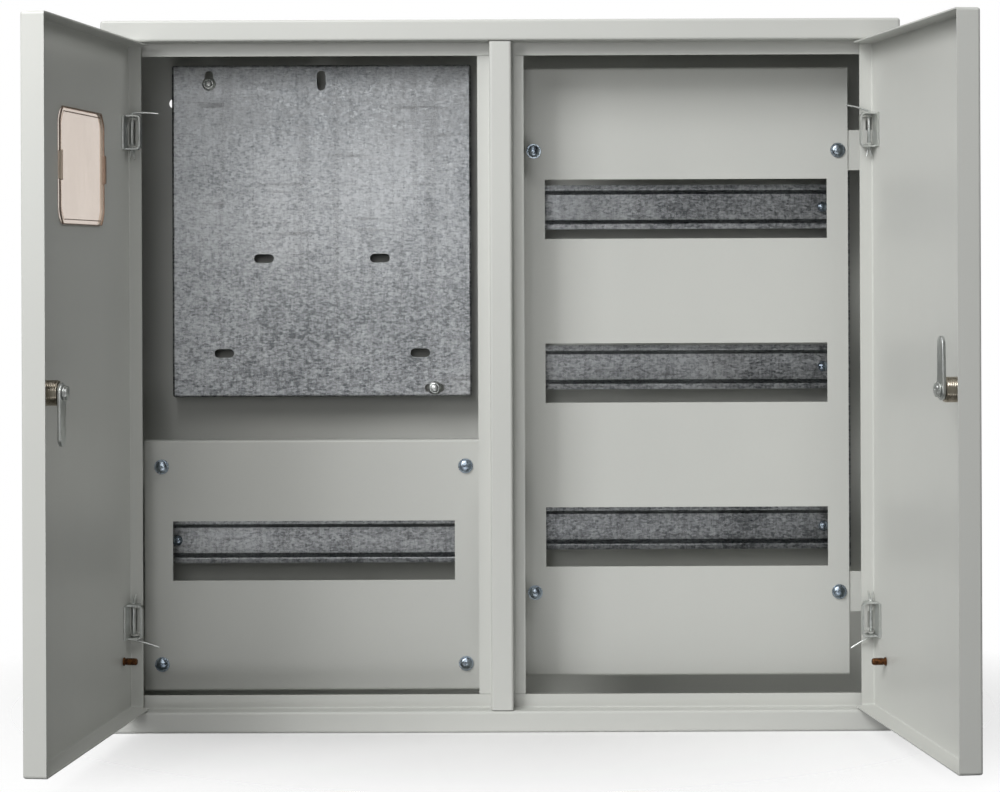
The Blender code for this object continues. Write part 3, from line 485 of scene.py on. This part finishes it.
def screwMesh(name, head, washer, front, back, look=screwLook):
    top = front
    edge = -0.0008                       # the washer's front face
    rim = top + look["dome"]
    dome = [(head * math.sin(a), rim - look["dome"] * math.cos(a))
            for a in [math.radians(10 + 80 * i / 6) for i in range(7)]]
    rings = [ringAt(radius, y) for radius, y in dome]
    rings += [ringAt(head, edge - 0.0001), ringAt(head * 0.97, edge)]
    rings += [ringAt(washer * 0.97, edge), ringAt(washer, edge + 0.00015), ringAt(washer, -0.00015)]
    rings += [ringAt(washer * 0.97, 0), ringAt(look["shank"] - look["threadDepth"], 0)]
    thread = {"radius": look["shank"], "depth": look["threadDepth"], "pitch": look["pitch"]}
    rings += threadRings(thread, 0.0002, back - 0.0018)
    rings += [ringAt(look["shank"] * 0.35, back)]
    screw = skin(name, rings)
    combine(screw, crossCutter(look, top))
    smooth(screw)
    return screw


def fitScrews():
    made = {}
    for name in sorted(nodes):
        if "_screw_" not in name:
            continue
        low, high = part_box(name)
        centre = (low + high) / 2
        washer = (high.x - low.x) / 2
        kind = "cover" if "cover" in name else "rail"
        head = washer * (0.82 if kind == "cover" else 0.97)
        seat = low.y + 0.0034
        turn = (sum(map(ord, name)) * 37) % 90
        matrix = Matrix.Translation((centre.x, seat, centre.z)) @ Matrix.Rotation(math.radians(turn), 4, "Y")
        if kind not in made:
            made[kind] = screwMesh("screw", head, washer, low.y - seat, high.y - seat).data
        piece = bpy.data.objects.new(name + "_detail", made[kind].copy())
        bpy.context.scene.collection.objects.link(piece)
        settleIn(piece, matrix, name, "cabinet", finishes["bright_zinc"])
    for spare in [item for item in bpy.data.objects if item.name.split(".")[0] == "screw"]:
        bpy.data.objects.remove(spare, do_unlink=True)


# door furniture

def doorFrame(side, origin=None):  # X along the door, Y into the cabinet when shut, Z up
    lock = joints[side + "_lock_turn"]
    inward = -Vector(lock["axis"]).normalized()
    along = inward.cross(Vector((0, 0, 1)))
    place = Vector(origin or lock["pos_m"])
    matrix = Matrix.Translation(place).to_4x4()
    for i, axis in enumerate((along, inward, Vector((0, 0, 1)))):
        for row in range(3):
            matrix[row][i] = axis[row]
    return matrix


lockShape = {
    "pitch": 0.0012, "threadDepth": 0.0004, "barrel": 0.0085, "flats": 0.0078, "rim": 0.0009,
    "nutBevel": 0.0010, "camBevel": 0.0005,
}


def fitLock(side, look=lockShape):
    matrix = doorFrame(side)
    door = side + "_door"
    core = side + "_lock"
    node = side + "_lock_body"
    low, high = localBox(node, matrix)
    plugLow, plugHigh = localBox(side + "_lock_plug", matrix)
    nutLow, nutHigh = localBox(side + "_lock_nut", matrix)
    headR = (high.x - low.x) / 2
    bore = (plugHigh.z - plugLow.z) / 2 + 0.0003
    camLow, camHigh = localBox(side + "_lock_cam", matrix)
    barrelR = look["barrel"]
    seat = nutLow.y - 0.0016                       # the head's rear face, outside the door
    rings = [ringAt(bore, low.y + 0.0002), ringAt(bore + 0.0004, low.y), ringAt(headR - look["rim"], low.y)]
    for x, z in arc(look["rim"], 90, 0, 4):
        rings.append(ringAt(headR - look["rim"] + x, low.y + look["rim"] - z))
    rings += [ringAt(headR, seat), ringAt(barrelR - look["threadDepth"], seat)]
    thread = {"radius": barrelR, "depth": look["threadDepth"], "pitch": look["pitch"], "flats": look["flats"]}
    rings += threadRings(thread, seat + 0.0001, high.y - seat - 0.0002)
    rings += [ringAt(barrelR - look["threadDepth"] - 0.0004, high.y), ringAt(bore, high.y)]
    body = skin(node + "_detail", rings, closed=True)
    smooth(body)
    settleIn(body, matrix, node, door, finishes["lock_brass"])

    node = side + "_lock_nut"
    corner = (nutHigh.x - nutLow.x) / 2
    flats = corner * math.cos(math.pi / 6)
    near, far = nutLow.y, nutHigh.y
    rings = [ringAt(barrelR + 0.0002, near, 48), ringAt(flats, near, 48)]
    rings += [hexRing(flats, flats * 1.05, near + 0.0003), hexRing(flats, corner, near + look["nutBevel"])]
    rings += [hexRing(flats, corner, far - look["nutBevel"]), hexRing(flats, flats * 1.05, far - 0.0003)]
    rings += [ringAt(flats, far, 48), ringAt(barrelR + 0.0002, far, 48)]
    nut = skin(node + "_detail", rings, closed=True)
    smooth(nut)
    settleIn(nut, matrix, node, door, finishes["bright_zinc"])

    node = side + "_lock_plug"
    plugR = bore - 0.0003
    front = plugLow.y
    rings = [(plugR * 0.4, front), (plugR - 0.0005, front), (plugR, front + 0.0005), (plugR, plugHigh.y)]
    plug = lathe(node + "_detail", rings)
    key = slab("key", [(-0.0006, -0.003), (0.0006, -0.003), (0.0006, 0.003), (-0.0006, 0.003)],
               front - 0.002, front + 0.005)
    combine(plug, key)
    smooth(plug)
    settleIn(plug, matrix, node, core, finishes["bright_zinc"])
    fitCam(side, matrix, camLow, camHigh)


def fitCam(side, matrix, low, high, look=lockShape):
    node = side + "_lock_cam"
    core = side + "_lock"
    half = (high.x - low.x) / 2
    point = 1 if high.z > -low.z else -1
    reach = max(high.z, -low.z)
    tip = half - 0.001
    outline = arc(tip, 0, 180, 14, 0, reach - tip) + arc(half, 180, 360, 14)
    outline = [(x, point * z) for x, z in outline]
    cam = slab(node + "_detail", outline, low.y, high.y)
    soften(cam, look["camBevel"])
    smooth(cam, 40)
    settleIn(cam, matrix, node, core, strapZinc)

    node = side + "_cam_screw"
    low, high = localBox(node, matrix)
    headR = (high.x - low.x) / 2
    seat = high.y - 0.003
    shank = screwLook["shank"]
    flats = headR * 0.88
    rings = [ringAt(shank, low.y, 48), ringAt(shank, seat, 48), ringAt(headR * 0.97, seat, 48)]
    rings += [ringAt(headR, seat + 0.0002, 48), ringAt(headR, seat + 0.0007, 48)]
    rings += [ringAt(headR * 0.96, seat + 0.0009, 48), hexRing(flats * 0.96, headR * 0.96, seat + 0.0009)]
    rings += [hexRing(flats * 0.96, headR * 0.96, high.y - 0.0007)]
    rings += [hexRing(flats * 0.96, flats, high.y - 0.0002), ringAt(flats * 0.86, high.y, 48)]
    screw = skin(node + "_detail", rings)
    flip = Matrix.Scale(-1, 4, (0, 1, 0))
    cutter = crossCutter(screwLook, -high.y)
    cutter.data.transform(flip)
    cutter.data.flip_normals()
    combine(screw, cutter)
    smooth(screw)
    settleIn(screw, matrix, node, core, strapZinc)


studLook = {"radius": 0.0027, "pitch": 0.0009, "threadDepth": 0.0004}


def fitEarthStud(side, look=studLook):
    node = side + "_earth_stud"
    turn = doorFrame(side)
    low, high = localBox(node, turn)
    centre = turn @ Vector(((low.x + high.x) / 2, 0, (low.z + high.z) / 2))
    matrix = doorFrame(side, centre)
    low, high = localBox(node, matrix)
    collar = (high.x - low.x) / 2
    radius = look["radius"]
    rings = [ringAt(collar * 0.8, low.y), ringAt(collar, low.y + 0.0002)]
    rings.append(ringAt(collar * 0.98, low.y + 0.0008))
    rings += [ringAt(collar * 0.84, low.y + 0.0012), ringAt(radius - look["threadDepth"], low.y + 0.0014)]
    thread = {"radius": radius, "depth": look["threadDepth"], "pitch": look["pitch"]}
    rings += threadRings(thread, low.y + 0.0016, high.y - low.y - 0.0021)
    rings += [ringAt(radius * 0.62, high.y)]
    stud = skin(node + "_detail", rings)
    smooth(stud)
    settleIn(stud, matrix, node, side + "_door", finishes["stud_copper"])


nutLook = {
    "flats": 0.004, "bore": 0.0028, "stud": 0.00275, "threadDepth": 0.0002, "pitch": 0.0009, "past": 0.003,
}


def fitPlateNuts(look=nutLook):
    for number in (1, 2):
        node = f"plate_nut_{number}"
        low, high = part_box(node)
        centre = (low + high) / 2
        matrix = Matrix.Translation((centre.x, 0, centre.z))
        flange = (high.x - low.x) / 2
        flats, bore = look["flats"], look["bore"]
        corner = flats / math.cos(math.pi / 6)
        front, back = low.y, high.y
        rings = [ringAt(bore, back, 48), ringAt(flange * 0.96, back, 48), ringAt(flange, back - 0.0002, 48)]
        rings += [ringAt(flange, back - 0.0007, 48), ringAt(flange * 0.86, back - 0.0014, 48)]
        rings += [hexRing(flats, corner, back - 0.0017), hexRing(flats, corner, front + 0.0009)]
        rings += [hexRing(flats, flats * 1.05, front + 0.0002), ringAt(flats * 0.95, front, 48)]
        rings += [ringAt(bore + 0.0004, front, 48), ringAt(bore, front + 0.0004, 48)]
        nut = skin(node + "_detail", rings, closed=True)
        smooth(nut)
        settleIn(nut, matrix, node, "cabinet", strapZinc)
        thread = {"radius": look["stud"], "depth": look["threadDepth"], "pitch": look["pitch"]}
        tip = front - look["past"]
        rings = [ringAt(0.0016, tip - 0.0004), ringAt(0.0023, tip - 0.0001)]
        rings += threadRings(thread, tip, back - tip - 0.001)
        stud = skin(f"plate_stud_thread_{number}", rings)
        smooth(stud)
        stud.data.transform(matrix)
        stud.data.materials.append(strapZinc)
        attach(stud, "cabinet")


# hinge pins

pinLook = {
    "wire": 0.00075, "bend": 0.0014, "shank": 0.0013, "prong": 0.00062, "half": 0.0134,
    "rise": {"upper_left": -0.0012, "lower_left": -0.0045, "upper_right": 0.0034, "lower_right": -0.0070},
}


def fitHingePins(look=pinLook):
    for level, end in (("upper", 1), ("lower", -1)):
        for side, inward in (("left", 1), ("right", -1)):
            node = f"{level}_{side}_hinge_pin"
            strap = localBox(f"{level}_{side}_frame_hinge", Matrix.Identity(4))
            middle = (strap[0].z + strap[1].z) / 2
            axis = Vector(joints[side + "_door_hinge"]["pos_m"])
            low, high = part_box(node)
            length = high.x - axis.x if inward > 0 else axis.x - low.x
            half = look["half"]
            rise = look["rise"][f"{level}_{side}"]
            route = [(0, 0, -end * half)]
            route += [(0, 0, end * half * i / 4) for i in range(-3, 5)]
            turned = arc(look["bend"], 0, 90, 8)[1:]
            route += [(inward * (look["bend"] - x), 0, end * (half + z)) for x, z in turned]
            start = Vector(route[-1])
            finish = Vector((inward * (length - 0.0005), 0, end * (half + 0.002) + rise))
            sag = Vector((0, 0, 0.0004))
            route += [tuple(start.lerp(finish, i / 6) + sag * math.sin(math.pi * i / 6)) for i in range(1, 7)]
            pin = sweep(node + "_detail", route, look["wire"])
            shank = lathe("shank", [(look["shank"] * 0.8, -half), (look["shank"], -half + 0.0004),
                                    (look["shank"], half - 0.0004), (look["shank"] * 0.8, half)], 24)
            shank.data.transform(Matrix.Rotation(math.radians(90), 4, "X"))
            combine(pin, shank, "UNION")
            for lean in (-1, 1):
                path = []
                for i in range(7):
                    t = i / 6
                    path.append((lean * (0.0005 + 0.0013 * t ** 1.5), 0, -end * (half - 0.002 + 0.0085 * t)))
                combine(pin, sweep("prong", path, look["prong"]), "UNION")
            smooth(pin, 40)
            matrix = Matrix.Translation((axis.x, axis.y, middle))
            settleIn(pin, matrix, node, "cabinet", strapZinc)


# window

windowLook = {"corner": 0.0095, "rim": 0.0022, "rimHeight": 0.0009, "clipTall": 0.021, "clipWide": 0.0034,
              "overlap": 0.003, "creaseOuter": 0.0032, "creaseInner": 0.0026}


def cutCorners(halfW, halfH, cut, steps=3):  # a rectangle with softly cut corners
    points = []
    for quarter, (sx, sz) in enumerate(((1, 1), (-1, 1), (-1, -1), (1, -1))):
        ends = [(halfW - cut * 0.75, halfH), (halfW, halfH - cut)]
        if quarter % 2 == 0:
            ends = ends[::-1]
        (x0, z0), (x1, z1) = ends
        for i in range(steps + 1):
            t = i / steps
            swell = cut * 0.06 * math.sin(math.pi * t)
            points.append((sx * (x0 + (x1 - x0) * t + swell * 0.7), sz * (z0 + (z1 - z0) * t + swell * 0.7)))
    return points


def fitWindow(look=windowLook):
    node = "window_pane"
    turn = doorFrame("left")
    low, high = localBox(node, turn)
    centre = turn @ Vector(((low.x + high.x) / 2, 0, (low.z + high.z) / 2))
    matrix = doorFrame("left", centre)
    low, high = localBox(node, matrix)
    doorLow = localBox("left_door", matrix)[0]
    outW, outH = (high.x - low.x) / 2, (high.z - low.z) / 2
    holeW, holeH = outW - look["overlap"], outH - look["overlap"]
    face = doorLow.y
    back = high.y
    steps = [
        (outW - 0.0006, outH - 0.0006, low.y), (outW, outH, low.y + 0.0005), (outW, outH, face - 0.0003),
        (holeW - 0.0004, holeH - 0.0004, face - 0.0003), (holeW - 0.0004, holeH - 0.0004, back - 0.0004),
        (holeW - 0.0009, holeH - 0.0009, back), (holeW - look["rim"], holeH - look["rim"], back),
        (holeW - look["rim"] - 0.0005, holeH - look["rim"] - 0.0005, back - look["rimHeight"]),
    ]
    rings = [[(x, y, z) for x, z in cutCorners(w, h, look["corner"])] for w, h, y in steps]
    pane = skin(node + "_detail", rings)
    smooth(pane, 40)
    settleIn(pane, matrix, node, "left_door", finishes["pane_plastic"])
    # painted shade: dark brown for the window's edge outline, the crease lines and the clip in shade
    edge = paintedEdgeShade("painted_edge_shade")
    litClip = peachFilm("painted_lit_clip", litClipLook)
    near, far = back - 0.0009, back + 0.0002
    outer = cutCorners(holeW + 0.0005, holeH + 0.0005, look["corner"])
    inner = cutCorners(holeW - 0.0001, holeH - 0.0001, look["corner"])
    corners = ((outer, near), (outer, far), (inner, far), (inner, near))
    shapes = [[(x, y, z) for x, z in line] for line, y in corners]
    trims = [skin("window_outline", shapes, closed=True)]
    for z in (-1, 1):
        x = holeW - look["corner"]
        first, second = z * (holeH - look["creaseOuter"]), z * (holeH - look["creaseInner"])
        line = [(-x, first), (x, first), (x, second), (-x, second)]
        label = "upper" if z > 0 else "lower"
        trims.append(slab("window_crease_" + label, line, back - 0.0006, back + 0.00015))
    for x in (-1, 1):
        x0 = x * (holeW - 0.0005 if x < 0 else holeW - 0.0028)
        reach = x * look["clipWide"]
        half = look["clipTall"] / 2
        line = [(x0, -half), (x0 + reach, -half + 0.0008), (x0 + reach, half - 0.0008), (x0, half)]
        clip = slab("window_clip_" + ("left" if x < 0 else "right"), line, doorLow.y + 0.0013, back + 0.0011)
        soften(clip, 0.0003, 2)
        trims.append(clip)
        # painted light: the clip in light gets the lit copy of the film, and the clip in shade keeps the
        # painted edge shade
        if x > 0:
            clip.data.materials.append(litClip)
    for trim in trims:
        trim.data.transform(matrix)
        if not trim.data.materials:
            trim.data.materials.append(edge)
        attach(trim, "left_door")


for side in ("left", "right"):
    fitLock(side)
    fitEarthStud(side)
fitWindow()
fitHingePins()
fitPlateNuts()
fitScrews()
print("detailed pieces fitted")


# studio

floorLook = {"colour": grey(0.93), "dusty": grey(0.88), "size": 8.0, "near": 0.10, "far": 0.50}
skyLook = {"seen": 1.0, "colour": (0.90, 0.98, 1.0, 1.0), "strength": 0.01}
lightLook = {         # direction in degrees: left of straight ahead, and up
    "key": {"left": 20, "up": 38, "away": 2.2, "wide": 0.9, "tall": 0.9, "power": 17.5},
    "wall": {"left": 38, "up": 28, "away": 2.2, "wide": 0.8, "tall": 1.7, "power": 27.0},
    "front": {"left": 5, "up": 9, "away": 2.2, "wide": 0.35, "tall": 0.5, "power": 4.2},
    "side": {"left": 75, "up": 45, "away": 2.2, "wide": 1.0, "tall": 1.0, "power": 11.5},
    "fill": {"left": -86, "up": 40, "away": 2.2, "wide": 1.0, "tall": 1.0, "power": 12.0},
    "low": {"left": 4, "up": -22, "away": 2.2, "wide": 1.2, "tall": 0.5, "power": 5.0},
    "rear": {"left": 170, "up": 30, "away": 2.2, "wide": 1.2, "tall": 1.2, "power": 9.0},
    "top": {"left": 0, "up": 80, "away": 2.2, "wide": 1.4, "tall": 1.4, "power": 6.5},
}
cameraLook = {"lens": 93.92, "back": 1.956, "up": 0.0853, "left": 0.0007, "drop": 0.134, "roll": 0.22}


def paleFloor(look=floorLook):  # melts into the white surroundings, so that no horizon shows
    f = Finish("pale_floor")
    cloud = f.noise(1.5, 2.0)
    colour = f.blendColour(f.span(cloud, 0.3, 0.7), look["colour"], look["dusty"])
    away = f.add("ShaderNodeVectorMath", {"operation": "LENGTH"}, {0: f.place()}, "Value")
    solid = f.span(away, look["near"], look["far"], 1.0, 0.0)
    return f.surface(colour=colour, roughness=0.6 + cloud * 0.05, alpha=solid)


def buildStudio():
    low, high = cadBounds
    half = floorLook["size"] / 2
    corners = [(-half, -half), (half, -half), (half, half), (-half, half)]
    sheet = bmesh.new()
    sheet.faces.new([sheet.verts.new((x, y, 0)) for x, y in corners])
    floor = fromBmesh("studio_floor", sheet)
    floor.location.z = low[2] - 0.0002
    floor.data.materials.append(paleFloor())
    target = Vector((0, (low[1] + high[1]) / 2, 0))
    for name, look in lightLook.items():
        lamp = bpy.data.lights.new(name, "AREA")
        lamp.shape = "RECTANGLE"
        lamp.size = look["wide"]
        lamp.size_y = look["tall"]
        lamp.energy = look["power"]
        left, up = math.radians(look["left"]), math.radians(look["up"])
        way = Vector((-math.sin(left) * math.cos(up), -math.cos(left) * math.cos(up), math.sin(up)))
        item = bpy.data.objects.new("lamp_" + name, lamp)
        item.location = target + way * look["away"]
        item.rotation_euler = (-way).to_track_quat("-Z", "Y").to_euler()
        bpy.context.scene.collection.objects.link(item)
    world = bpy.data.worlds.new("studio")
    bpy.context.scene.world = world
    world.use_nodes = True
    tree = world.node_tree
    tree.nodes.clear()
    seen = tree.nodes.new("ShaderNodeBackground")
    seen.inputs["Strength"].default_value = skyLook["seen"]
    seen.inputs["Color"].default_value = grey(1.0)
    ambient = tree.nodes.new("ShaderNodeBackground")
    ambient.inputs["Color"].default_value = skyLook["colour"]
    ambient.inputs["Strength"].default_value = skyLook["strength"]
    path = tree.nodes.new("ShaderNodeLightPath")
    mix = tree.nodes.new("ShaderNodeMixShader")
    output = tree.nodes.new("ShaderNodeOutputWorld")
    tree.links.new(path.outputs["Is Camera Ray"], mix.inputs[0])
    tree.links.new(ambient.outputs[0], mix.inputs[1])
    tree.links.new(seen.outputs[0], mix.inputs[2])
    tree.links.new(mix.outputs[0], output.inputs["Surface"])
    bpy.context.scene.view_settings.view_transform = "Standard"


def buildCamera():
    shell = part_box("shell")
    look = cameraLook
    camera = bpy.data.cameras.new("camera")
    camera.lens = look["lens"]
    camera.sensor_width = 36.0
    camera.shift_y = -look["drop"]
    item = bpy.data.objects.new("camera", camera)
    middle = (shell[0].z + shell[1].z) / 2
    item.location = (-look["left"], shell[0].y - look["back"], middle + look["up"])
    item.rotation_euler = (math.radians(90), math.radians(look["roll"]), 0)
    bpy.context.scene.collection.objects.link(item)
    bpy.context.scene.camera = item


buildStudio()
buildCamera()
print("studio and camera ready")
